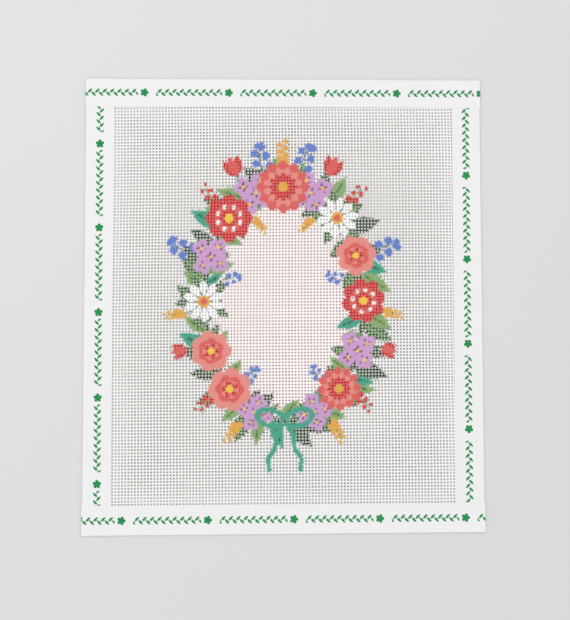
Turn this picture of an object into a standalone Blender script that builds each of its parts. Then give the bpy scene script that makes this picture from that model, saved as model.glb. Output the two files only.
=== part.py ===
"""Needlepoint canvas panel: a square-woven canvas lying flat, its four cut edges bound with tape."""
import bmesh
import bpy
from mathutils import Vector

MM = 0.001

# Driving dimensions: the sheet is cut to a count of threads
THREADS_PER_INCH = 13
PITCH = 25.4 * MM / THREADS_PER_INCH
CUT_WIDTH = 125 * PITCH
CUT_HEIGHT = 143.5 * PITCH
TAPE_WIDTH = 18.0 * MM
TRIM = 0.5 * MM
SHEET = 1.0 * MM
CLEARANCE = 0.3 * MM
RAMP = 4.0 * MM

# How far each corner of the cut sheet lies from the true rectangle: to the right, then up
OUT_OF_SQUARE = {
    "top_left": (0.8 * MM, 0.6 * MM),
    "top_right": (1.3 * MM, -0.9 * MM),
    "bottom_right": (-0.3 * MM, 0.1 * MM),
    "bottom_left": (-0.6 * MM, -0.1 * MM),
}

# The strips, each running with the canvas on its left:
# from corner, to corner, width that shows, length past the first corner, past the second, laid on top
STRIPS = {
    "tape_left": ("top_left", "bottom_left", TAPE_WIDTH - TRIM, 0.0, 0.0, False),
    "tape_right": ("bottom_right", "top_right", TAPE_WIDTH - TRIM, 0.0, 0.0, False),
    "tape_top": ("top_right", "top_left", TAPE_WIDTH - TRIM, 0.5 * MM, 0.4 * MM, True),
    "tape_bottom": ("bottom_left", "bottom_right", TAPE_WIDTH, 0.4 * MM, 0.6 * MM, True),
}

CANVAS_COLOUR = (0.74, 0.73, 0.71, 1.0)
TAPE_COLOUR = (0.87, 0.87, 0.88, 1.0)


def clear_scene():
    for thing in list(bpy.data.objects):
        bpy.data.objects.remove(thing, do_unlink=True)


def finish_material(name, colour, roughness):
    material = bpy.data.materials.new(name)
    material.use_nodes = True
    shader = material.node_tree.nodes["Principled BSDF"]
    shader.inputs["Base Color"].default_value = colour
    shader.inputs["Roughness"].default_value = roughness
    shader.inputs["Metallic"].default_value = 0.0
    return material


def cut_corners():
    """The four corners of the cut sheet, about the middle of the panel."""
    corners = {}
    for name, (right, up) in OUT_OF_SQUARE.items():
        x = CUT_WIDTH / 2 if name.endswith("right") else -CUT_WIDTH / 2
        y = CUT_HEIGHT / 2 if name.startswith("top") else -CUT_HEIGHT / 2
        corners[name] = Vector((x + right, y + up, 0.0))
    return corners


def strip_lines(name, corners):
    """A strip's outer edge from end to end, and the step to its inner edge."""
    first, last, width, before, after, _ = STRIPS[name]
    along = (corners[last] - corners[first]).normalized()
    inward = Vector((-along.y, along.x, 0.0)) * width
    return corners[first] - along * before, corners[last] + along * after, inward


def middle_of_box(corners):
    """The middle of the whole outline with the strip ends, which becomes the origin."""
    points = list(corners.values())
    for name in STRIPS:
        start, end, _ = strip_lines(name, corners)
        points += [start, end]
    xs = [point.x for point in points]
    ys = [point.y for point in points]
    return Vector(((min(xs) + max(xs)) / 2, (min(ys) + max(ys)) / 2, 0.0))


def thicken(name, bm, material):
    """Lift the sheet's underside straight up by its thickness into a closed solid."""
    bmesh.ops.recalc_face_normals(bm, faces=bm.faces)
    under = list(bm.faces)
    lifted = bmesh.ops.extrude_face_region(bm, geom=under, use_keep_orig=True)
    top = [item for item in lifted["geom"] if isinstance(item, bmesh.types.BMVert)]
    bmesh.ops.translate(bm, verts=top, vec=(0.0, 0.0, SHEET))
    bmesh.ops.recalc_face_normals(bm, faces=bm.faces)
    mesh = bpy.data.meshes.new(name)
    bm.to_mesh(mesh)
    bm.free()
    mesh.materials.append(material)
    sheet = bpy.data.objects.new(name, mesh)
    bpy.context.collection.objects.link(sheet)
    return sheet


def make_canvas(corners, material):
    """The woven ground as one flat sheet; its holes are under 1.2 mm, so they stay closed here."""
    bm = bmesh.new()
    order = ("bottom_left", "bottom_right", "top_right", "top_left")
    bm.faces.new([bm.verts.new(corners[name]) for name in order])
    return thicken("canvas", bm, material)


def strip_heights(length, before, after, climbs):
    """Height of a strip's underside along its length: a strip laid on top climbs over both side strips."""
    low = SHEET + CLEARANCE
    high = low + SHEET + CLEARANCE
    if not climbs:
        return [(0.0, low), (length, low)]
    reach = TAPE_WIDTH + CLEARANCE
    return [
        (0.0, high),
        (before + reach, high),
        (before + reach + RAMP, low),
        (length - after - reach - RAMP, low),
        (length - after - reach, high),
        (length, high),
    ]


def make_strip(name, corners, material):
    """One length of tape stuck to the face of the canvas, flush with its cut edge."""
    _, _, _, before, after, climbs = STRIPS[name]
    start, end, inward = strip_lines(name, corners)
    along = (end - start).normalized()
    bm = bmesh.new()
    rails = []
    for distance, height in strip_heights((end - start).length, before, after, climbs):
        outer = start + along * distance + Vector((0.0, 0.0, height))
        rails.append((bm.verts.new(outer), bm.verts.new(outer + inward)))
    for (outer_a, inner_a), (outer_b, inner_b) in zip(rails, rails[1:]):
        bm.faces.new((outer_a, outer_b, inner_b, inner_a))
    return thicken(name, bm, material)


def main():
    clear_scene()
    canvas_material = finish_material("canvas", CANVAS_COLOUR, 0.8)
    tape_material = finish_material("tape", TAPE_COLOUR, 0.55)
    corners = cut_corners()
    middle = middle_of_box(corners)
    corners = {name: point - middle for name, point in corners.items()}
    make_canvas(corners, canvas_material)
    for name in STRIPS:
        make_strip(name, corners, tape_material)


if __name__ == "__main__":
    main()
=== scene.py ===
"""Needlepoint canvas panel: the canvas thread by thread, its painted design, the taped edges, the stage."""

import math

import bmesh
import bpy
import numpy as np
from bpy.props import FloatProperty, FloatVectorProperty, IntProperty, PointerProperty
from mathutils import Euler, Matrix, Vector


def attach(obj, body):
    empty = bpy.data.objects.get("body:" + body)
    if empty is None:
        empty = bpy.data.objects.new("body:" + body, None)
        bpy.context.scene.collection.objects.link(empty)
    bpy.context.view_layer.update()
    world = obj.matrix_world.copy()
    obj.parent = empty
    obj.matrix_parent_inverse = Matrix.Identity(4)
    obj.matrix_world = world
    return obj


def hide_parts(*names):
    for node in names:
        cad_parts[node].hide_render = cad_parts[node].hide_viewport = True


bl_info = {
    "name": "Needlepoint Canvas Panel",
    "version": (1, 0, 0),
    "blender": (4, 5, 0),
    "location": "View3D > Sidebar > Needlework",
    "description": "Weaves, paints and binds a flat needlepoint canvas panel",
    "category": "Object",
}

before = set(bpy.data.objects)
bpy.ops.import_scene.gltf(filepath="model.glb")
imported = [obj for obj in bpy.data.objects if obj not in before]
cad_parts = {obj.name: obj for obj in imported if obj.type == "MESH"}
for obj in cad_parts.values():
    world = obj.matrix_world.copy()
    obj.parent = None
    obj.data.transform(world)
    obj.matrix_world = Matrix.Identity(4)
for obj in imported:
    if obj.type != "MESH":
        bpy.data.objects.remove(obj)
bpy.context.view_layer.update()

MM = 0.001
INCH = 25.4 * MM
BODY = "root"
SIDES = 6

# Threads are numbered from the middle of the panel, to the right and upwards
UPRIGHT_THREADS = range(-62, 63)
CROSS_THREADS = range(-72, 72)

# How handling has drawn the weave out of a true grid, in millimetres. Terms: even, for each 100 mm
# to the right, for each 100 mm up, for both together, for 100 mm right squared, for 100 mm up squared
DRAWN_ASIDE = (0.64, 0.19, 0.20, -0.25, 0.03, -0.47)
DRAWN_UP = (-0.24, 0.25, -0.07, 0.06, -0.18, 0.28)

# How far in from the cut edge the tape flattens the weave, from where and over what the sheet rises, and
# how many thread widths inside the edge the outermost threads stay
PRESSED_REACH = 32 * MM
RISE_FROM = 12 * MM
RISE_OVER = 34 * MM
EDGE_ROOM = 0.56

# Groups of whole threads, so that no piece grows too heavy
UPRIGHT_GROUPS = ("upright_threads_left", "upright_threads_middle", "upright_threads_right")
CROSS_GROUPS = ("cross_threads_bottom", "cross_threads_middle", "cross_threads_top")

PAINT = "paint"
PRINT = "print"
BAKE = "OFBake"


def linear(red, green, blue):
    """A screen colour from 0 to 255, as the linear values that shaders take."""
    return tuple(((part / 255 + 0.055) / 1.055) ** 2.4 for part in (red, green, blue))


def colour_property(name, description, red, green, blue):
    colour = linear(red, green, blue)
    return FloatVectorProperty(
        name=name, description=description, subtype="COLOR", size=3, min=0.0, max=1.0, default=colour
    )


def length_property(name, description, default):
    return FloatProperty(name=name, description=description, default=default, unit="LENGTH", precision=5)


class WeaveSettings(bpy.types.PropertyGroup):
    threads_per_inch: IntProperty(name="Mesh", description="Threads to the inch", default=13, min=5, max=24)
    thread_width: length_property("Thread width", "Width of a thread seen from above", 0.86 * MM)
    thread_height: length_property("Thread height", "Height of a thread from the side", 0.36 * MM)
    sway: length_property("Sway", "Height of the slow waves up the upright threads", 0.52 * MM)
    swell: length_property("Unevenness", "How far the stiff sheet stands off the floor in places", 0.9 * MM)
    coat: length_property("Coat", "How far thick paint swells a thread at its sides", 0.27 * MM)
    pressed: FloatProperty(
        name="Pressed edge", description="Share of its height that the weave loses at the rim", default=0.35
    )
    thread_colour: colour_property("Thread", "Colour of the bare canvas", 234, 233, 231)


class PaintSettings(bpy.types.PropertyGroup):
    ring_width: length_property("Wreath half width", "From the middle to the ring, sideways", 49 * MM)
    ring_height: length_property("Wreath half height", "From the middle to the ring, upwards", 72 * MM)
    blush: colour_property("Blush", "Field inside the wreath", 246, 235, 233)
    blush_line: colour_property("Blush line", "Edge of the field", 236, 220, 218)
    white: colour_property("White", "White flowers", 252, 251, 250)
    coral: colour_property("Coral", "Large flowers", 204, 84, 78)
    pink: colour_property("Pink", "Lighter petals", 214, 130, 122)
    red: colour_property("Red", "Red flowers and berries", 188, 16, 22)
    ochre: colour_property("Ochre", "Flower centres and sprays", 210, 156, 60)
    yellow: colour_property("Yellow", "Bright flower centres", 226, 188, 58)
    lilac: colour_property("Lilac", "Flat florets", 190, 146, 190)
    purple: colour_property("Purple", "Lines on the florets", 74, 26, 96)
    blue: colour_property("Blue", "Bell flowers", 88, 116, 188)
    teal: colour_property("Teal", "Ribbon and long leaves", 54, 150, 124)
    light_green: colour_property("Light green", "Young leaves", 126, 158, 102)
    green: colour_property("Green", "Leaves", 44, 90, 34)
    dark_green: colour_property("Dark green", "Deep leaves and stems", 26, 54, 24)


class BindingSettings(bpy.types.PropertyGroup):
    thickness: length_property("Thickness", "Thickness of the tape", 0.11 * MM)
    repeat: length_property("Repeat", "Length of one repeat of the print", 52.3 * MM)
    print_height: length_property("Print height", "Height of the printed sprig", 4.3 * MM)
    tape_colour: colour_property("Tape", "Colour of the tape", 219, 219, 219)
    ink_colour: colour_property("Ink", "Colour of the printed sprig", 22, 128, 68)


class StageSettings(bpy.types.PropertyGroup):
    floor_colour: colour_property("Floor", "Colour of the floor", 202, 202, 202)
    distance: length_property("Camera distance", "From the camera to where it looks", 0.7986)
    lens: FloatProperty(name="Lens", description="Focal length for a 36 mm picture height", default=75.48)


def start_clean():
    """Back to object mode with nothing selected, so that the next tool acts on one piece only."""
    if bpy.context.object and bpy.context.object.mode != "OBJECT":
        bpy.ops.object.mode_set(mode="OBJECT")
    bpy.ops.object.select_all(action="DESELECT")


def take(piece):
    """Make a piece the only one selected, and the active one."""
    start_clean()
    piece.select_set(True)
    bpy.context.view_layer.objects.active = piece


def pick(kind, test):
    """In edit mode, select the vertices, edges or faces that pass the test."""
    bpy.ops.mesh.select_mode(type=kind)
    bpy.ops.mesh.select_all(action="DESELECT")
    mesh = bpy.context.edit_object.data
    shape = bmesh.from_edit_mesh(mesh)
    for item in {"VERT": shape.verts, "EDGE": shape.edges, "FACE": shape.faces}[kind]:
        item.select_set(test(item))
    bmesh.update_edit_mesh(mesh)


def repeat_piece(piece, count, step, merge=False):
    """Repeat the piece by an array along a fixed step."""
    take(piece)
    array = piece.modifiers.new("repeat", "ARRAY")
    array.count = count
    array.use_relative_offset = False
    array.use_constant_offset = True
    array.constant_offset_displace = step
    array.use_merge_vertices = merge
    array.merge_threshold = 0.00001
    bpy.ops.object.modifier_apply(modifier=array.name)


def read_values(items, key, width=1, kind=np.float32):
    """One row of values for each vertex, corner or face of a mesh."""
    values = np.empty(len(items) * width, dtype=kind)
    items.foreach_get(key, values)
    return values.reshape(-1, width)


def points_of(piece):
    return read_values(piece.data.vertices, "co", 3).astype(float)


def move_points(piece, places):
    piece.data.vertices.foreach_set("co", places.astype(np.float32).ravel())
    piece.data.update()


def corner_points(piece):
    """The place of each face corner, in the order that a UV map keeps."""
    return points_of(piece)[read_values(piece.data.loops, "vertex_index", kind=np.int32)[:, 0]]


def write_map(piece, name, across, up):
    """Write one UV map from two arrays with a value for each face corner."""
    layer = piece.data.uv_layers.get(name) or piece.data.uv_layers.new(name=name, do_init=False)
    layer.data.foreach_set("uv", np.column_stack([across, up]).astype(np.float32).ravel())


def scatter(numbers, seed):
    """A fixed value from -1 to 1 for each whole number, with no pattern to the eye."""
    return 2 * np.modf(np.abs(np.sin(numbers * 12.9898 + seed * 78.233) * 43758.5453))[0] - 1


def smooth_step(values):
    values = np.clip(values, 0, 1)
    return values * values * (3 - 2 * values)


def plan_corner(node, right, up):
    """The corner of a node's plan that lies furthest to that side."""
    points = [vertex.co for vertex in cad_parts[node].data.vertices]
    far = max(points, key=lambda point: right * point.x + up * point.y)
    return Vector((far.x, far.y, 0.0))


def cut_outline():
    """The four corners of the cut sheet, anticlockwise from the bottom left."""
    return [plan_corner("canvas", right, up) for right, up in ((-1, -1), (1, -1), (1, 1), (-1, 1))]


# The woven ground


def model_thread_repeat(weave, pitch):
    """Two pitches of one thread along X: raised where it passes over, lowered where it passes under."""
    start_clean()
    place, turn = (0.75 * pitch, 0.0, 0.0), (0.0, math.pi / 2, 0.0)
    bpy.ops.mesh.primitive_cylinder_add(
        vertices=SIDES, radius=0.5, depth=2 * pitch, end_fill_type="NOTHING", location=place, rotation=turn
    )
    thread = bpy.context.object
    bpy.ops.object.transform_apply()
    bpy.ops.object.mode_set(mode="EDIT")
    pick("EDGE", lambda edge: abs(edge.verts[0].co.x - edge.verts[1].co.x) > pitch)
    bpy.ops.mesh.subdivide(number_cuts=3)
    bpy.ops.mesh.select_all(action="SELECT")
    flat_height = weave.thread_height / math.cos(math.radians(30))
    bpy.ops.transform.resize(value=(1.0, weave.thread_width, flat_height), center_override=(0.0, 0.0, 0.0))
    crimp = weave.thread_height / 2

    def over(vertex):
        return not 0.5 * pitch < vertex.co.x < 1.5 * pitch

    pick("VERT", over)
    bpy.ops.transform.translate(value=(0.0, 0.0, weave.thread_height + crimp))
    pick("VERT", lambda vertex: not over(vertex))
    bpy.ops.transform.translate(value=(0.0, 0.0, weave.thread_height - crimp))
    bpy.ops.object.mode_set(mode="OBJECT")
    return thread


def lay_threads(name, weave, pitch, first_over, first_line, threads, crossings):
    """Threads side by side along X; each second one lies a pitch back, so that overs fall beside unders."""
    pair = [model_thread_repeat(weave, pitch)]
    bpy.ops.object.duplicate()
    pair.append(bpy.context.object)
    for odd, thread in enumerate(pair):
        repeat_piece(thread, crossings // 2 + 1, (2 * pitch, 0.0, 0.0), merge=True)
        repeat_piece(thread, (threads + 1 - odd) // 2, (0.0, 2 * pitch, 0.0))
        thread.location = (first_over - odd * pitch, first_line + odd * pitch, 0.0)
        bpy.ops.object.transform_apply()
    take(pair[0])
    pair[1].select_set(True)
    bpy.ops.object.join()
    cloth = bpy.context.object
    cloth.name = name
    cloth.data.name = name
    return cloth


def vary_threads(along, across, pitch, seed):
    """Threads swell and thin a little, and each lies a little off its line."""
    number = np.round(across / pitch)
    off = across - number * pitch
    slow = 0.04 * np.sin(along / (31 * MM) + 0.6) * np.sin(across / (37 * MM) + 2.4)
    ripple = 0.025 * np.sin(along / (3.1 * MM) + 6 * scatter(number, seed + 1))
    swell = 1 + slow + 0.03 * scatter(number, seed) + ripple
    wander = 0.03 * MM * np.sin(along / (13 * MM) + 9 * scatter(number, seed + 2))
    offset = 0.025 * MM * scatter(number, seed + 3)
    return number * pitch + off * swell + wander + offset


def drift_of_weave(x, y, weave):
    """How far the handled cloth has drifted from a true grid, to the right and up."""
    right, up = x / (100 * MM), y / (100 * MM)
    terms = (1.0, right, up, right * up, right**2, up**2)
    aside = sum(share * term for share, term in zip(DRAWN_ASIDE, terms)) * MM
    rise = sum(share * term for share, term in zip(DRAWN_UP, terms)) * MM
    return aside - weave.sway * (1 - 0.17 * right) * np.sin((y + 85 * MM) / (42 * MM)), rise


def from_edge(x, y):
    """Distance of points from the nearest cut edge."""
    corners = cut_outline()
    distances = []
    for start, end in zip(corners, corners[1:] + corners[:1]):
        along = (end - start).normalized()
        distances.append(along.x * (y - start.y) - along.y * (x - start.x))
    return np.minimum.reduce(distances)


def flattened(x, y, weave):
    """The share of its height that the weave keeps where the tape presses on it."""
    return 1 - weave.pressed * (1 - smooth_step(from_edge(x, y) / PRESSED_REACH))


def uneven(x, y, weave):
    """How far the sheet stands off the floor: in low soft rises inside, not at all at the rim."""
    wave = np.sin(x / (27 * MM) + 1.1) * np.sin(y / (33 * MM) - 0.6) + 0.5 * np.sin((x - y) / (24 * MM))
    rim = smooth_step((from_edge(x, y) - RISE_FROM) / RISE_OVER)
    return weave.swell * (1.0 + 0.35 * wave) * rim


def press_in(along, across, line, start, end, drift, weave, pitch):
    """The outermost thread moves in where it would leave the sheet, and its neighbours' ends with it."""
    side = math.copysign(1.0, line)
    edge = start[1] + (along - start[0]) * (end[1] - start[1]) / (end[0] - start[0])
    reach = side * (line * pitch + drift - edge) + EDGE_ROOM * weave.thread_width
    share = np.clip(side * (across - line * pitch) / pitch + 1, 0, 1)
    return side * np.maximum(reach, 0) * share


def handled(places, weave, pitch):
    """Points of the true grid, drifted and lying unevenly, the outermost threads inside the cut edges."""
    x, y = places[:, 0], places[:, 1]
    low_left, low_right, high_right, high_left = cut_outline()
    aside, rise = drift_of_weave(x, y, weave)
    lowest, highest = (CROSS_THREADS[0], low_left, low_right), (CROSS_THREADS[-1], high_left, high_right)
    for line, start, end in (lowest, highest):
        drift = drift_of_weave(x, line * pitch, weave)[1]
        rise = rise - press_in(x + aside, y, line, start, end, drift, weave, pitch)
    first, last = (UPRIGHT_THREADS[0], low_left, high_left), (UPRIGHT_THREADS[-1], low_right, high_right)
    for line, start, end in (first, last):
        drift = drift_of_weave(line * pitch, y, weave)[0]
        aside = aside - press_in(y + rise, x, line, start.yx, end.yx, drift, weave, pitch)
    x, y = x + aside, y + rise
    return np.column_stack([x, y, places[:, 2] * flattened(x, y, weave) + uneven(x, y, weave)])


def trim_to_outline(piece):
    """Cut the piece along the four edges of the sheet and close the cut threads."""
    corners = cut_outline()
    take(piece)
    bpy.ops.object.mode_set(mode="EDIT")
    for start, end in zip(corners, corners[1:] + corners[:1]):
        along = (end - start).normalized()
        bpy.ops.mesh.select_all(action="SELECT")
        outwards = (along.y, -along.x, 0.0)
        bpy.ops.mesh.bisect(
            plane_co=start, plane_no=outwards, use_fill=True, clear_outer=True, threshold=0.000001
        )
    bpy.ops.object.mode_set(mode="OBJECT")


def map_top_and_underside(piece, split_across):
    """A UV map with the top in one half of the square and the underside in the other."""
    places = corner_points(piece)
    low, high = places.min(axis=0), places.max(axis=0)
    slope = 0.3 * (places[:, 2:] - low[2])
    shares = (places[:, :2] - low[:2] + slope) / (high[:2] - low[:2] + 0.002)
    faces = piece.data.polygons
    downward = read_values(faces, "normal", 3)[:, 2] < 0
    downward = np.repeat(downward, read_values(faces, "loop_total", kind=np.int32)[:, 0])
    half = 0 if split_across else 1
    square = 0.002 + 0.996 * shares
    square[:, half] = 0.002 + 0.494 * shares[:, half] + 0.5 * downward
    write_map(piece, BAKE, *square.T)


def finish_sheet(piece, material, node):
    """Give a finished sheet its finish and its place in the frame."""
    take(piece)
    piece.data.materials.clear()
    piece.data.materials.append(material)
    bpy.ops.object.shade_smooth_by_angle(angle=math.radians(50))
    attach(piece, BODY)
    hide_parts(node)


def finish_threads(cloth, axis, seed, weave, pitch):
    """Handle and trim threads along an axis, then map and finish them."""
    places = points_of(cloth)
    places[:, 1 - axis] = vary_threads(places[:, axis], places[:, 1 - axis], pitch, seed)
    move_points(cloth, handled(places, weave, pitch))
    trim_to_outline(cloth)
    map_top_and_underside(cloth, split_across=True)
    finish_sheet(cloth, canvas_material(weave), "canvas")


def groups(threads, names):
    """Share the threads out evenly: name, number of the first thread, how many."""
    size = math.ceil(len(threads) / len(names))
    shares = [threads[place * size : (place + 1) * size] for place in range(len(names))]
    return [(name, share[0], len(share)) for name, share in zip(names, shares)]


class WeaveCrossThreads(bpy.types.Operator):
    """Weaves the threads that run from side to side"""

    bl_idname = "needlework.cross_threads"
    bl_label = "Cross threads"

    def execute(self, context):
        weave = context.scene.panel_weave
        pitch = INCH / weave.threads_per_inch
        reach = UPRIGHT_THREADS[-1] + 2
        for name, first, count in groups(CROSS_THREADS, CROSS_GROUPS):
            start = -reach - (reach + first) % 2
            cloth = lay_threads(name, weave, pitch, start * pitch, first * pitch, count, 2 * reach + 2)
            finish_threads(cloth, 0, 1, weave, pitch)
        return {"FINISHED"}


class WeaveUprightThreads(bpy.types.Operator):
    """Weaves the threads that run up the panel, each under its neighbours' overs"""

    bl_idname = "needlework.upright_threads"
    bl_label = "Upright threads"

    def execute(self, context):
        weave = context.scene.panel_weave
        pitch = INCH / weave.threads_per_inch
        reach = CROSS_THREADS[-1] + 2
        for name, first, count in groups(UPRIGHT_THREADS, UPRIGHT_GROUPS):
            # Modelled along X and turned clockwise, so it starts from the topmost crossing
            start = reach + (reach + first + 1) % 2
            cloth = lay_threads(name, weave, pitch, -start * pitch, first * pitch, count, 2 * reach + 2)
            cloth.rotation_euler.z = -math.pi / 2
            bpy.ops.object.transform_apply()
            finish_threads(cloth, 1, 5, weave, pitch)
        return {"FINISHED"}


# The painted design: shapes in millimetres from the origin, each laid over the earlier ones

BRUSH_EDGE = 0.4

# How far the thinner paints fill the holes of the weave, from a wash to a closed film at 1
BODY_OF_PAINT = {
    "blush": 0.35,
    "blush_line": 0.35,
    "white": 0.4,
    "dark_green": 0.5,
    "green": 0.55,
    "red": 0.7,
    "coral": 0.85,
    "purple": 0.9,
}

# Films of paint in the holes: from which body on, how far past the hole, how thick, at which level in
# thread heights, how far to either side of the middle, where in a patch paint is looked for, at how many
# of those places it has to lie, and in how many steps a corner is drawn in to it
FILM_FROM = 0.45
FILM_LAP = 0.3 * MM
FILM_THICKNESS = 0.08 * MM
FILM_LEVEL = 1.18
FILM_REACH = 80 * MM
PROBES = (-0.8, -0.4, 0.0, 0.4, 0.8)
PAINTED_PROBES = 3
DRAW_STEPS = 6

# Painted shade: how much less red, green and blue the sides and undersides of bare threads give back, as
# shares, a warm tint standing in for the shade under and between threads
SIDE_SHADE_TINT = (0.0, 0.03, 0.06)


class Design:
    """A list of painted shapes, and the paint that they leave on a set of points."""

    def __init__(self, paints):
        self.paints = paints
        self.shapes = []

    def lay(self, depth_in, at, reach, sizes, paint):
        paint = (*getattr(self.paints, paint), BODY_OF_PAINT.get(paint, 1.0))
        self.shapes.append((depth_in, at, reach, sizes, paint))

    def petal(self, at, turn, length, width, paint, fullness):
        """A leaf or petal from its foot; fullness over 1 is widest near the tip, under 1 near the foot."""
        self.lay(petal_depth, at, length, (math.radians(turn), length, width, fullness), paint)

    def petals(self, at, turn, count, length, width, paint, fullness):
        """Petals of one kind all round a point."""
        for number in range(count):
            self.petal(at, turn + 360 / count * number, length, width, paint, fullness)

    def disc(self, at, radius, paint):
        self.oval(at, radius, radius, paint)

    def discs(self, at, turn, count, distance, radius, paint):
        """Discs of one kind in a ring round a point."""
        for number in range(count):
            self.disc(away(at, turn + 360 / count * number, distance), radius, paint)

    def oval(self, at, across, up, paint):
        self.lay(oval_depth, at, max(across, up), (across, up), paint)

    def stroke(self, points, width, paint):
        """A brush stroke of even width along a few points."""
        middle = np.mean(points, axis=0)
        bends = np.array(points) - middle
        reach = max(np.hypot(*bend) for bend in bends) + width
        self.lay(stroke_depth, tuple(middle), reach, (bends, width), paint)

    def paint_on(self, places, layers):
        """Lay every shape on the points in order; changes layers, which hold colour, body and cover."""
        for depth_in, at, reach, sizes, paint in self.shapes:
            right, up = places[:, 0] - at[0], places[:, 1] - at[1]
            near = np.flatnonzero((np.abs(right) < reach) & (np.abs(up) < reach))
            depth = depth_in(right[near], up[near], *sizes)
            load = np.clip(depth / BRUSH_EDGE + 0.5, 0, 1)[:, None]
            body = layers[near, 3]
            layers[near, :4] = layers[near, :4] * (1 - load) + np.array(paint) * load
            if depth_in is stroke_depth:
                layers[near, 3] = np.maximum(layers[near, 3], body)
            layers[near, 4] = np.maximum(layers[near, 4], load[:, 0])


def petal_depth(right, up, turn, length, width, fullness):
    along = (right * math.cos(turn) + up * math.sin(turn)) / length
    aside = np.abs(up * math.cos(turn) - right * math.sin(turn))
    half = width / 2 * np.sin(math.pi * np.clip(along, 0, 1) ** fullness)
    return np.where((along > 0) & (along < 1), half - aside, -1.0)


def oval_depth(right, up, across, height):
    return (1 - np.hypot(right / across, up / height)) * min(across, height)


def stroke_depth(right, up, bends, width):
    best = np.full(len(right), np.inf)
    for (x, y), (dx, dy) in zip(bends, bends[1:] - bends[:-1]):
        share = np.clip(((right - x) * dx + (up - y) * dy) / (dx * dx + dy * dy), 0, 1)
        best = np.minimum(best, np.hypot(right - x - share * dx, up - y - share * dy))
    return width / 2 - best


def away(at, turn, distance):
    """The point at a distance from another in a direction given in degrees."""
    bend = math.radians(turn)
    return (at[0] + distance * math.cos(bend), at[1] + distance * math.sin(bend))


def draw_leaf(design, at, turn, size, paint, rib):
    design.petal(at, turn, size, 0.44 * size, paint, 0.85)
    design.stroke([away(at, turn, 0.12 * size), away(at, turn, 0.74 * size)], 0.8, rib)


def draw_dahlia(design, at, size, turn):
    """Two tiers of pointed petals round a red ring and an ochre button."""
    design.petals(at, turn, 12, size, 0.5 * size, "coral", 1.7)
    design.petals(at, turn + 15, 12, 0.76 * size, 0.3 * size, "pink", 1.6)
    design.petals(at, turn, 12, 0.56 * size, 0.22 * size, "red", 1.3)
    design.disc(at, 0.3 * size, "red")
    design.disc(at, 0.19 * size, "ochre")


def draw_peony(design, at, size, turn):
    """A ruffled pink flower: round outer petals, a coral ring, a red heart round a yellow eye."""
    design.discs(at, turn, 7, 0.6 * size, 0.4 * size, "pink")
    design.discs(at, turn + 26, 6, 0.36 * size, 0.28 * size, "coral")
    design.disc(at, 0.4 * size, "pink")
    design.petals(at, turn, 5, 0.42 * size, 0.26 * size, "red", 1.3)
    design.disc(at, 0.17 * size, "yellow")


def draw_rosette(design, at, size, turn):
    """A round folk rose in rings: scalloped edge, paler ring, deep heart, yellow button."""
    design.discs(at, turn, 8, 0.68 * size, 0.33 * size, "red")
    design.disc(at, 0.76 * size, "red")
    design.disc(at, 0.62 * size, "coral")
    design.discs(at, turn + 22.5, 8, 0.5 * size, 0.09 * size, "white")
    design.disc(at, 0.38 * size, "red")
    design.disc(at, 0.19 * size, "yellow")


def draw_daisy(design, at, size, turn):
    """Ten narrow white petals over dark leaves, with an ochre button."""
    for number in range(5):
        draw_leaf(design, at, turn + 20 + 72 * number, 1.4 * size, "green", "light_green")
    design.disc(at, 0.86 * size, "dark_green")
    design.petals(at, turn, 10, size, 0.4 * size, "white", 1.9)
    design.disc(at, 0.3 * size, "ochre")
    design.disc(at, 0.16 * size, "coral")


def draw_phlox(design, at, size, turn):
    """A flat floret of four round petals with a bright eye."""
    design.discs(at, turn, 4, 0.52 * size, 0.46 * size, "lilac")
    for number in range(2):
        ends = [away(at, turn + 90 * number, side * 0.42 * size) for side in (-1, 1)]
        design.stroke(ends, 0.12 * size, "purple")
    design.disc(at, 0.17 * size, "yellow")


def draw_phlox_head(design, at, size, turn):
    for number in range(4):
        draw_phlox(design, away(at, turn + 90 * number, 0.66 * size), 0.55 * size, turn + 30 * number)
    draw_phlox(design, at, 0.58 * size, turn + 45)


def draw_bells(design, at, size, turn):
    """A nodding spray of blue bells on a thin stem."""
    tip = away(at, turn, 1.5 * size)
    design.stroke([at, away(at, turn + 8, 0.8 * size), tip], 1.0, "green")
    for number, side in enumerate((-1, 1, -1, 1, -1)):
        foot = away(at, turn, (0.35 + 0.26 * number) * size)
        design.petal(foot, turn + side * (62 - 6 * number), 0.66 * size, 0.5 * size, "blue", 1.7)
    design.petal(tip, turn, 0.5 * size, 0.4 * size, "blue", 1.5)


def draw_tulip(design, at, size, turn):
    """A cup of three pointed petals on a stem."""
    cup = away(at, turn, 0.7 * size)
    design.stroke([at, cup], 1.4, "green")
    for side in (-24, 24):
        design.petal(cup, turn + side, size, 0.52 * size, "red", 0.8)
    design.petal(cup, turn, 1.04 * size, 0.46 * size, "coral", 0.85)


def draw_currants(design, at, size, turn):
    """A hanging string of red currants, smaller towards its tip."""
    design.stroke([at, away(at, turn, 1.5 * size)], 0.9, "light_green")
    for number in range(6):
        side = 58 * (-1) ** number
        berry = away(away(at, turn, (0.3 + 0.24 * number) * size), turn + side, 0.24 * size)
        design.disc(berry, (0.22 - 0.018 * number) * size, "red")


def draw_mimosa(design, at, size, turn):
    """An ochre spray of little balls along a stem."""
    design.stroke([at, away(at, turn, 1.5 * size)], 0.9, "green")
    for number in range(8):
        side = 40 * (-1) ** number
        ball = away(away(at, turn, (0.25 + 0.18 * number) * size), turn + side, 0.26 * size)
        design.disc(ball, (0.22 - 0.012 * number) * size, "ochre")


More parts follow.
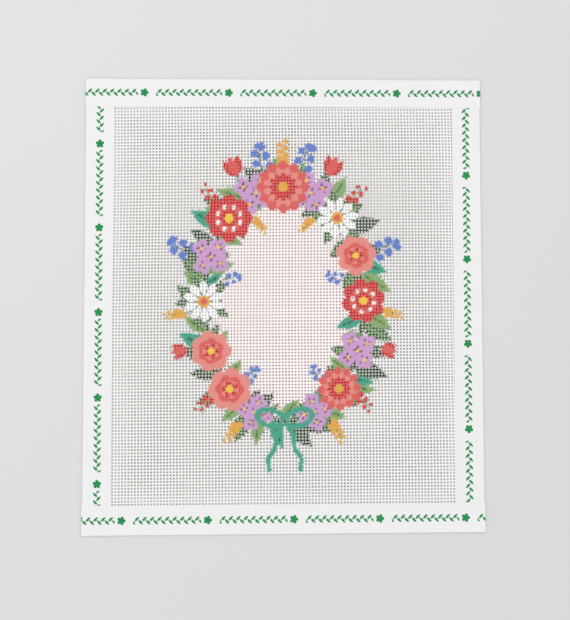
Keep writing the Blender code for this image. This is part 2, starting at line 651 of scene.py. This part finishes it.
def draw_bow(design, at, size):
    """A ribbon bow with two round loops and two long tails."""
    x, y = at
    for side in (-1, 1):
        tail = [at, (x + side * 0.3 * size, y - 0.5 * size), (x + side * 0.36 * size, y - 1.0 * size)]
        tail += [(x + side * 0.6 * size, y - 1.35 * size), (x + side * 0.56 * size, y - 1.75 * size)]
        design.stroke(tail, 3.2, "teal")
        bends = [math.radians(30 * step) for step in range(13)]
        aside = [side * 0.5 * size * (1 - math.cos(bend)) for bend in bends]
        rise = [size * (0.3 * math.sin(bend) + 0.1 * (1 - math.cos(bend))) for bend in bends]
        design.stroke([(x + right, y + up) for right, up in zip(aside, rise)], 3.2, "teal")
    design.disc(at, 2.9, "teal")
    design.disc(at, 1.2, "dark_green")


# Round the wreath: degrees from the right, millimetres out from the ring, kind, size, own turn.
# Each spray has its mirror image on the other side
SPRAYS = [
    (80, 8, draw_bells, 11, 74),
    (65, 7, draw_tulip, 13, 66),
    (49, 9, draw_currants, 10, 50),
    (22, 7, draw_bells, 11, 26),
    (-4, 9, draw_mimosa, 9, -8),
    (-20, 7, draw_tulip, 10, -14),
    (-44, 9, draw_currants, 9, -46),
    (-63, 7, draw_mimosa, 10, -58),
    (58, -9, draw_mimosa, 8, 228),
    (12, -9, draw_bells, 7, 166),
    (-50, -9, draw_bells, 7, 128),
]
FLOWERS = [
    (70, 1, draw_phlox_head, 12, 20),
    (110, 1, draw_phlox_head, 12, 65),
    (156, 0, draw_phlox_head, 11, 50),
    (-24, 0, draw_phlox_head, 11, 35),
    (24, 0, draw_peony, 12.5, 10),
    (204, 0, draw_peony, 12.5, 0),
    (-68, 0, draw_phlox_head, 10, 15),
    (248, 0, draw_phlox_head, 10, 70),
    (47, 0, draw_daisy, 13, 8),
    (133, 0, draw_rosette, 14.5, 0),
    (1, 0, draw_rosette, 13.5, 12),
    (179, 0, draw_daisy, 13, 20),
    (-47, 0, draw_dahlia, 14, 4),
    (227, 0, draw_peony, 13.5, 30),
    (90, 0, draw_dahlia, 17, 0),
]
RING_LEAVES = 84


def wreath_point(paints, turn, out):
    """A point on the ring and the direction that points away from the ring there."""
    across, up = paints.ring_width / MM, paints.ring_height / MM
    bend = math.radians(turn)
    x, y = across * math.cos(bend), up * math.sin(bend)
    outwards = math.degrees(math.atan2(y / up**2, x / across**2))
    return away((x, y), outwards, out), outwards


def design_wreath(paints):
    """An upright oval wreath of common garden flowers, tied with a ribbon bow, on a blush field."""
    design = Design(paints)
    design.oval((0, 0), paints.ring_width / MM - 6, paints.ring_height / MM - 6, "blush_line")
    design.oval((0, 0), paints.ring_width / MM - 8, paints.ring_height / MM - 8, "blush")
    ring = [wreath_point(paints, turn, 0)[0] for turn in range(0, 361, 6)]
    design.stroke(ring, 3.0, "dark_green")
    greens = (
        ("dark_green", "green"),
        ("green", "light_green"),
        ("light_green", "green"),
        ("teal", "dark_green"),
    )
    for number in range(RING_LEAVES):
        turn = 360 / RING_LEAVES * number + 2 * math.sin(7.0 * number)
        side = 1 if number % 2 else -1
        at, outwards = wreath_point(paints, turn, 0)
        lean = outwards + 46 * math.cos(3.0 * number) + (0 if side > 0 else 180)
        size = (20 if side > 0 else 15) + 3 * math.sin(5.0 * number)
        draw_leaf(design, at, lean, size, *greens[(0, 1, 0, 2, 1, 3, 2)[number % 7]])
    laid = [(90, 8, draw_mimosa, 12, 90)]
    for turn, out, draw, size, own_turn in SPRAYS:
        laid += [(turn, out, draw, size, own_turn), (180 - turn, out, draw, size, 180 - own_turn)]
    for turn, out, draw, size, own_turn in laid + FLOWERS:
        draw(design, wreath_point(paints, turn, out)[0], size, own_turn)
    draw_bow(design, wreath_point(paints, -90, 0)[0], 17)
    return design


def bare_layers(count, bare):
    """Colour, body of paint and cover of unpainted points."""
    return np.tile(np.array([*bare, 0.0, 0.0]), (count, 1))


def body_at(design, places):
    """How far the paint closes a hole at each of some points."""
    layers = bare_layers(len(places), (0, 0, 0))
    design.paint_on(places / MM, layers)
    return layers[:, 3]


def fit_film(design, corners, centres, reach):
    """Draw each patch's corners in to the edge of the paint, and say which patches hold paint."""
    total = np.zeros(len(centres))
    middle = np.zeros((len(centres), 2))
    for right in PROBES:
        for up in PROBES:
            place = centres + np.array((right, up)) * reach
            inside = body_at(design, place) >= FILM_FROM
            total += inside
            middle += place * inside[:, None]
    middle /= np.maximum(total, 1)[:, None]
    outside = body_at(design, corners) < FILM_FROM
    start = corners.copy()
    for step in range(1, DRAW_STEPS + 1):
        corners[outside] = start[outside] + (middle - start)[outside] * step / DRAW_STEPS
        outside &= body_at(design, corners) < FILM_FROM
    return corners, total >= PAINTED_PROBES


def model_film(design, weave, pitch, first, count):
    """Paint dried across the holes between some rows of threads: all the patches, less the open ones."""
    columns = 2 * math.ceil(FILM_REACH / pitch)
    level = FILM_LEVEL * weave.thread_height
    start_clean()
    place = ((0.5 - columns / 2) * pitch, (first + 0.5) * pitch, level)
    bpy.ops.mesh.primitive_cube_add(size=1.0, location=place)
    film = bpy.context.object
    span = pitch - weave.thread_width + FILM_LAP
    film.scale = (span, span, FILM_THICKNESS)
    bpy.ops.object.transform_apply()
    repeat_piece(film, columns, (pitch, 0.0, 0.0))
    repeat_piece(film, count, (0.0, pitch, 0.0))
    places = points_of(film)
    middles = places.copy()
    middles[:, :2] = (np.floor(places[:, :2] / pitch) + 0.5) * pitch
    places = handled(places, weave, pitch)
    middles = handled(middles, weave, pitch)
    places[:, :2], painted = fit_film(design, places[:, :2], middles[:, :2], span / 2)
    move_points(film, places)
    take(film)
    bpy.ops.object.mode_set(mode="EDIT")
    pick("VERT", lambda vertex: not painted[vertex.index])
    bpy.ops.mesh.delete(type="VERT")
    bpy.ops.object.mode_set(mode="OBJECT")
    film.data.materials.append(canvas_material(weave))
    return film


def paint_piece(piece, design, weave, film_from):
    """Colour a piece point by point; paint swells threads and soaks in; films of thin paint are painted
    pale, standing in for light seen through the holes.
    """
    places = points_of(piece)
    layers = bare_layers(len(places), weave.thread_colour)
    design.paint_on(places / MM, layers)
    normals = read_values(piece.data.vertices, "normal", 3)
    # The face takes the paint, the sides less of it and the underside least
    soaked = np.clip(0.35 + 1.3 * (normals[:, 2] + 0.25), 0.3, 1.0)
    hue = soaked.copy()
    # Films of thinner paint are painted pale, a painted highlight standing in for the light seen through the
    # open holes
    hue[film_from:] *= 1 - np.clip(5 * np.clip(0.9 - layers[film_from:, 3], 0, 1) ** 2, 0, 0.75)
    # Painted warm shade on the sides and undersides of bare threads
    bare = np.array(weave.thread_colour) * (1 - np.outer(1 - soaked, SIDE_SHADE_TINT))
    colours = bare + (layers[:, :3] - bare) * hue[:, None]
    attribute = piece.data.color_attributes.new(name=PAINT, type="FLOAT_COLOR", domain="POINT")
    values = np.column_stack([colours, layers[:, 4] * soaked]).astype(np.float32)
    attribute.data.foreach_set("color", values.ravel())
    coat = np.clip(2 * layers[:, 3] - 0.3, 0, 1) * soaked * weave.coat
    places[:film_from, :2] += (normals[:, :2] * coat[:, None])[:film_from]
    move_points(piece, places)


class PaintDesign(bpy.types.Operator):
    """Paints the wreath on the canvas; thick paint closes the holes, thin paint leaves them open"""

    bl_idname = "needlework.paint_design"
    bl_label = "Paint the design"

    def execute(self, context):
        weave = context.scene.panel_weave
        pitch = INCH / weave.threads_per_inch
        design = design_wreath(context.scene.panel_paint)
        for name in UPRIGHT_GROUPS:
            piece = bpy.data.objects[name]
            paint_piece(piece, design, weave, len(piece.data.vertices))
        for name, first, count in groups(CROSS_THREADS, CROSS_GROUPS):
            cloth = bpy.data.objects[name]
            threads_end = len(cloth.data.vertices)
            film = model_film(design, weave, pitch, first, count)
            take(cloth)
            film.select_set(True)
            bpy.ops.object.join()
            map_top_and_underside(cloth, split_across=True)
            bpy.ops.object.shade_smooth_by_angle(angle=math.radians(50))
            paint_piece(cloth, design, weave, threads_end)
        return {"FINISHED"}


# The taped edges

# Strip of tape: its node, the way its print reads, the way outwards, the print's way up (1 outwards),
# the place of one blossom as the print reads, the print's distance from the outer edge, laid on top
BINDINGS = {
    "binding_left": ("tape_left", (0, 1), (-1, 0), 1, 99.6 * MM, 8.8 * MM, False),
    "binding_right": ("tape_right", (0, -1), (1, 0), 1, -79.1 * MM, 8.9 * MM, False),
    "binding_top": ("tape_top", (1, 0), (0, 1), 1, -85.7 * MM, 8.5 * MM, True),
    "binding_bottom": ("tape_bottom", (1, 0), (0, -1), -1, -99.3 * MM, 8.8 * MM, True),
}
TAPE_GAP = 0.01 * MM
LAP = 1.6 * MM


def lap_rise(x, y, thickness):
    """How far a strip laid on top stands up where it passes over the side strips."""
    rise = np.zeros(len(x))
    for node, side in (("tape_left", -1), ("tape_right", 1)):
        low = plan_corner(node, -side, -1)
        high = plan_corner(node, -side, 1)
        inner = low.x + (high.x - low.x) * (y - low.y) / (high.y - low.y)
        rise += smooth_step(1 - side * (inner - x) / LAP)
    return rise * (thickness + TAPE_GAP)


def model_strip(name, node, thickness, on_top, weave):
    """A strip of tape as a fine sheet laid on the threads, inside its node's plan."""
    corners = [plan_corner(node, right, up) for right, up in ((-1, -1), (1, -1), (-1, 1), (1, 1))]
    wide = (corners[1] - corners[0]).length > (corners[2] - corners[0]).length
    start_clean()
    columns, rows = (160, 10) if wide else (10, 160)
    bpy.ops.mesh.primitive_grid_add(
        x_subdivisions=columns, y_subdivisions=rows, size=1.0, location=(0.5, 0.5, 0.0)
    )
    strip = bpy.context.object
    strip.name = name
    strip.data.name = name
    bpy.ops.object.transform_apply()
    places = points_of(strip)
    right, up = places[:, 0:1], places[:, 1:2]
    bottom = np.array(corners[0]) * (1 - right) + np.array(corners[1]) * right
    top = np.array(corners[2]) * (1 - right) + np.array(corners[3]) * right
    places = bottom * (1 - up) + top * up
    x, y = places[:, 0], places[:, 1]
    places[:, 2] = 2 * weave.thread_height * flattened(x, y, weave) + TAPE_GAP + uneven(x, y, weave)
    if on_top:
        places[:, 2] += lap_rise(x, y, thickness)
    move_points(strip, places)
    take(strip)
    thick = strip.modifiers.new("thickness", "SOLIDIFY")
    thick.thickness = thickness
    thick.offset = 1.0
    bpy.ops.object.modifier_apply(modifier=thick.name)
    return strip, corners


def map_print(strip, node, reads, outwards, way_up, blossom, inset, binding):
    """A UV map in repeats of the print along the strip, and in print heights across it."""
    places = corner_points(strip)[:, :2]
    along = (places @ np.array(reads) - blossom) / binding.repeat
    right, up = outwards
    start, end = (np.array(plan_corner(node, right or side, up or side))[:2] for side in (-1, 1))
    line = (end - start) / np.linalg.norm(end - start)
    across = np.array([-line[1], line[0]])
    across *= np.sign(across @ np.array(outwards))
    offset = (places - start) @ across + inset
    write_map(strip, PRINT, along, way_up * offset / binding.print_height)


class BindEdges(bpy.types.Operator):
    """Sticks the four strips of printed tape on the face of the panel, the side strips first"""

    bl_idname = "needlework.bind_edges"
    bl_label = "Bind the edges"

    def execute(self, context):
        binding = context.scene.panel_binding
        finish = tape_material(binding, INCH / context.scene.panel_weave.threads_per_inch)
        for name, (node, reads, *layout, on_top) in BINDINGS.items():
            strip, corners = model_strip(name, node, binding.thickness, on_top, context.scene.panel_weave)
            map_print(strip, node, reads, *layout, binding)
            map_top_and_underside(strip, split_across=reads[0] == 0)
            finish_sheet(strip, finish, node)
        return {"FINISHED"}


# Finishes

# Length of one turn of a thread's twist
TWIST = 0.42 * MM

# The print in millimetres: where the sprig starts and ends in a repeat, its leaves, the blossom's petals
SPRIG_START, SPRIG_END = 7.2, 48.3
LEAF_SPACING, HALF_LEAF_LENGTH, HALF_LEAF_WIDTH, LEAF_LEAN = 4.56, 1.7, 0.66, math.radians(38)
PETALS = 5


class Finish:
    """A node-based material on object coordinates, and short calls for its nodes."""

    def __init__(self, name):
        self.material = bpy.data.materials.new(name)
        self.material.use_nodes = True
        self.tree = self.material.node_tree
        self.shader = self.tree.nodes["Principled BSDF"]
        self.place = self.add("ShaderNodeTexCoord").outputs["Object"]

    def add(self, kind, inputs=(), **settings):
        """A node with its settings, and its inputs as values or as sockets to link from."""
        node = self.tree.nodes.new(kind)
        for key, value in settings.items():
            setattr(node, key, value)
        for socket, value in dict(inputs).items():
            self.set(node.inputs[socket], value)
        return node

    def set(self, socket, value):
        if isinstance(value, bpy.types.NodeSocket):
            self.tree.links.new(value, socket)
        else:
            socket.default_value = value

    def show(self, *values):
        """The colour, roughness, shine and normal of the finish, as values or sockets."""
        for socket, value in zip(("Base Color", "Roughness", "Specular IOR Level", "Normal"), values):
            self.set(self.shader.inputs[socket], value)

    def parts(self, vector):
        """The first two parts of a vector."""
        return self.add("ShaderNodeSeparateXYZ", {0: vector}).outputs[:2]

    def bump(self, height, strength, distance):
        inputs = {"Height": height, "Strength": strength, "Distance": distance}
        return self.add("ShaderNodeBump", inputs).outputs[0]

    def math(self, operation, *values):
        node = self.add("ShaderNodeMath", operation=operation)
        for socket, value in zip(node.inputs, values):
            self.set(socket, value)
        return node.outputs[0]

    def plus(self, first, second):
        return self.math("ADD", first, second)

    def less(self, first, second):
        return self.math("SUBTRACT", first, second)

    def times(self, first, second):
        return self.math("MULTIPLY", first, second)

    def step(self, value, low, high):
        """A soft step from 0 at low to 1 at high."""
        inputs = {"Value": value, "From Min": low, "From Max": high}
        return self.add("ShaderNodeMapRange", inputs, interpolation_type="SMOOTHSTEP").outputs[0]

    def noise(self, scale, detail=3.0):
        inputs = {"Vector": self.place, "Scale": scale, "Detail": detail}
        return self.add("ShaderNodeTexNoise", inputs).outputs["Fac"]

    def ramp(self, value, low, high):
        """The value carried from 0..1 to low..high."""
        return self.add("ShaderNodeMapRange", {"Value": value, "To Min": low, "To Max": high}).outputs[0]

    def tint(self, colour, factor):
        """A colour made darker or lighter by a factor."""
        return self.add("ShaderNodeVectorMath", {0: colour, 1: factor}, operation="MULTIPLY").outputs[0]

    def mix(self, share, low, high):
        node = self.add("ShaderNodeMix", data_type="RGBA")
        self.set(node.inputs["Factor"], share)
        self.set(node.inputs["A"], low)
        self.set(node.inputs["B"], high)
        return node.outputs["Result"]


def canvas_material(weave):
    """Starched cotton thread with a fine twist, matt paint on top where the design lies."""
    known = bpy.data.materials.get("starched_canvas")
    if known:
        return known
    finish = Finish("starched_canvas")
    paint = finish.add("ShaderNodeAttribute", attribute_name=PAINT)
    fibres = finish.noise(2600.0)
    patches = finish.noise(55.0, 2.0)
    shade = finish.plus(finish.ramp(fibres, 0.9, 1.06), finish.ramp(patches, -0.03, 0.03))
    diagonal = finish.plus(*finish.parts(finish.place))
    twist = finish.math("SINE", finish.times(diagonal, math.tau / TWIST))
    height = finish.plus(finish.times(twist, 0.5), fibres)
    finish.show(
        finish.tint(paint.outputs["Color"], shade),
        finish.ramp(paint.outputs["Alpha"], 0.72, 0.6),
        0.2,
        finish.bump(height, 0.35, 0.04 * MM),
    )
    return finish.material


def printed_sprig(finish, binding):
    """How much ink lies at a point: a running leaf sprig, then one small blossom, in each repeat."""
    repeat = binding.repeat / MM
    height = binding.print_height / MM
    uv = finish.add("ShaderNodeUVMap", uv_map=PRINT).outputs[0]
    repeats, heights = finish.parts(uv)
    along = finish.times(finish.math("FRACT", repeats), repeat)
    across = finish.times(heights, height)
    # Leaves stand on alternate sides of the stem, each leaning forward
    lower = finish.math("LESS_THAN", across, 0.0)
    shifted = finish.plus(finish.less(along, SPRIG_START), finish.times(lower, LEAF_SPACING / 2))
    local = finish.times(finish.math("FRACT", finish.math("DIVIDE", shifted, LEAF_SPACING)), LEAF_SPACING)
    right = finish.less(local, LEAF_SPACING / 2)
    up = finish.less(finish.math("ABSOLUTE", across), 0.27 * height)
    forward, sideways = math.cos(LEAF_LEAN), math.sin(LEAF_LEAN)
    length_way = finish.plus(finish.times(right, forward), finish.times(up, sideways))
    width_way = finish.less(finish.times(up, forward), finish.times(right, sideways))
    spread = [
        finish.math("POWER", finish.math("DIVIDE", finish.math("ABSOLUTE", way), reach), 1.7)
        for way, reach in ((length_way, HALF_LEAF_LENGTH), (width_way, HALF_LEAF_WIDTH))
    ]
    leaf = finish.step(finish.plus(*spread), 1.08, 0.92)
    wave = finish.times(finish.math("SINE", finish.times(along, math.tau / LEAF_SPACING)), 0.4)
    stem = finish.step(finish.math("ABSOLUTE", finish.less(across, wave)), 0.24, 0.14)
    sprig = finish.math("MAXIMUM", leaf, stem)
    begun = finish.step(along, SPRIG_START - 0.1, SPRIG_START + 0.1)
    ended = finish.step(along, SPRIG_END + 0.1, SPRIG_END - 0.1)
    sprig = finish.times(sprig, finish.times(begun, ended))
    # The blossom: round petals, cleft between
    wrap = finish.times(finish.math("GREATER_THAN", along, repeat / 2), repeat)
    aside = finish.less(along, wrap)
    squares = finish.plus(finish.times(aside, aside), finish.times(across, across))
    radius = finish.math("SQRT", squares)
    turn = finish.math("ARCTAN2", across, aside)
    lobes = finish.math("ABSOLUTE", finish.math("COSINE", finish.times(turn, PETALS / 2)))
    edge = finish.plus(finish.times(finish.math("SQRT", lobes), 1.35), 1.3)
    blossom = finish.step(finish.less(radius, edge), 0.07, -0.07)
    return finish.math("MAXIMUM", sprig, blossom)


def tape_material(binding, pitch):
    """Smooth white tape: a green print, a faint grain, and the weave pressing through from below."""
    finish = Finish("printed_tape")
    ink = printed_sprig(finish, binding)
    grain = finish.noise(900.0)
    clouds = finish.noise(90.0, 2.0)
    shade = finish.plus(finish.ramp(grain, 0.985, 1.01), finish.ramp(clouds, -0.012, 0.012))
    tape = finish.tint((*binding.tape_colour,), shade)
    dye = finish.tint((*binding.ink_colour,), finish.ramp(grain, 0.8, 1.25))
    turns = [finish.times(part, math.tau / pitch) for part in finish.parts(finish.place)]
    pressed = finish.times(*[finish.math("SINE", turn) for turn in turns])
    height = finish.plus(finish.times(pressed, 0.6), finish.times(grain, 0.4))
    finish.show(
        finish.mix(finish.times(ink, 0.99), tape, dye),
        finish.ramp(clouds, 0.42, 0.56),
        finish.ramp(ink, 0.45, 0.1),
        finish.bump(height, 0.3, 0.05 * MM),
    )
    return finish.material


def floor_material(colour):
    """A pale floor with painted shade, a little darker away from the window."""
    finish = Finish("pale_floor")
    away_from_window = finish.less(*finish.parts(finish.place))
    # Painted shade: the floor's colour falls off away from the window
    inputs = {"Value": away_from_window, "From Min": -0.3, "From Max": 0.3, "To Min": 1.035, "To Max": 0.975}
    painted_window_shade = finish.add("ShaderNodeMapRange", inputs).outputs[0]
    shade = finish.times(finish.ramp(finish.noise(6.0, 2.0), 0.985, 1.01), painted_window_shade)
    finish.show(finish.tint((*colour,), shade), 0.6)
    return finish.material


# The stage

WINDOW_AT = Vector((-0.9, 1.1, 1.8))
WINDOW_POWER = 7.5
SKY_STRENGTH = 1.118
LOOK_AT = Vector((0.69, -4.21, 0.9)) * MM
CAMERA_TURN = Euler((math.radians(4.407), math.radians(-1.223), math.radians(-0.385)))


class SetStage(bpy.types.Operator):
    """Puts down the floor and sets up soft light and the camera"""

    bl_idname = "needlework.set_stage"
    bl_label = "Set the stage"

    def execute(self, context):
        stage = context.scene.panel_stage
        start_clean()
        bpy.ops.mesh.primitive_plane_add(size=6.0, location=(0.0, 0.0, -0.02 * MM))
        floor = bpy.context.object
        floor.name = "floor"
        bpy.ops.object.transform_apply()
        floor.data.materials.append(floor_material(stage.floor_colour))
        start_clean()
        bpy.ops.object.light_add(type="AREA", location=WINDOW_AT)
        window = bpy.context.object
        window.name = "window"
        window.data.shape = "DISK"
        window.data.size = 1.6
        window.data.energy = WINDOW_POWER
        window.rotation_euler = (-WINDOW_AT).to_track_quat("-Z", "Y").to_euler()
        world = bpy.data.worlds.new("soft_room")
        world.use_nodes = True
        sky = world.node_tree.nodes["Background"]
        sky.inputs["Color"].default_value = (1.0, 1.0, 1.0, 1.0)
        sky.inputs["Strength"].default_value = SKY_STRENGTH
        context.scene.world = world
        context.scene.view_settings.view_transform = "Standard"
        start_clean()
        back = CAMERA_TURN.to_matrix() @ Vector((0.0, 0.0, 1.0))
        bpy.ops.object.camera_add(location=LOOK_AT + back * stage.distance, rotation=CAMERA_TURN)
        camera = bpy.context.object
        camera.name = "camera"
        camera.data.sensor_width = 36.0
        camera.data.lens = stage.lens
        camera.data.clip_start = 0.05
        context.scene.camera = camera
        return {"FINISHED"}


class NeedleworkPanel(bpy.types.Panel):
    """Lists the sizes, the colours and the steps of the panel"""

    bl_idname = "VIEW3D_PT_needlework"
    bl_label = "Needlepoint canvas"
    bl_space_type = "VIEW_3D"
    bl_region_type = "UI"
    bl_category = "Needlework"

    def draw(self, context):
        for name in SETTINGS:
            box = self.layout.box()
            settings = getattr(context.scene, name)
            for key in settings.__annotations__:
                box.prop(settings, key)
        for operator in OPERATORS:
            self.layout.operator(operator.bl_idname)


SETTINGS = {
    "panel_weave": WeaveSettings,
    "panel_paint": PaintSettings,
    "panel_binding": BindingSettings,
    "panel_stage": StageSettings,
}
OPERATORS = (WeaveUprightThreads, WeaveCrossThreads, PaintDesign, BindEdges, SetStage)


def register():
    for kind in (*SETTINGS.values(), *OPERATORS, NeedleworkPanel):
        bpy.utils.register_class(kind)
    for name, kind in SETTINGS.items():
        setattr(bpy.types.Scene, name, PointerProperty(type=kind))


def unregister():
    for name in SETTINGS:
        delattr(bpy.types.Scene, name)
    for kind in (NeedleworkPanel, *OPERATORS, *SETTINGS.values()):
        bpy.utils.unregister_class(kind)


def main():
    register()
    bpy.ops.needlework.upright_threads()
    bpy.ops.needlework.cross_threads()
    bpy.ops.needlework.paint_design()
    bpy.ops.needlework.bind_edges()
    bpy.ops.needlework.set_stage()


if __name__ == "__main__":
    main()
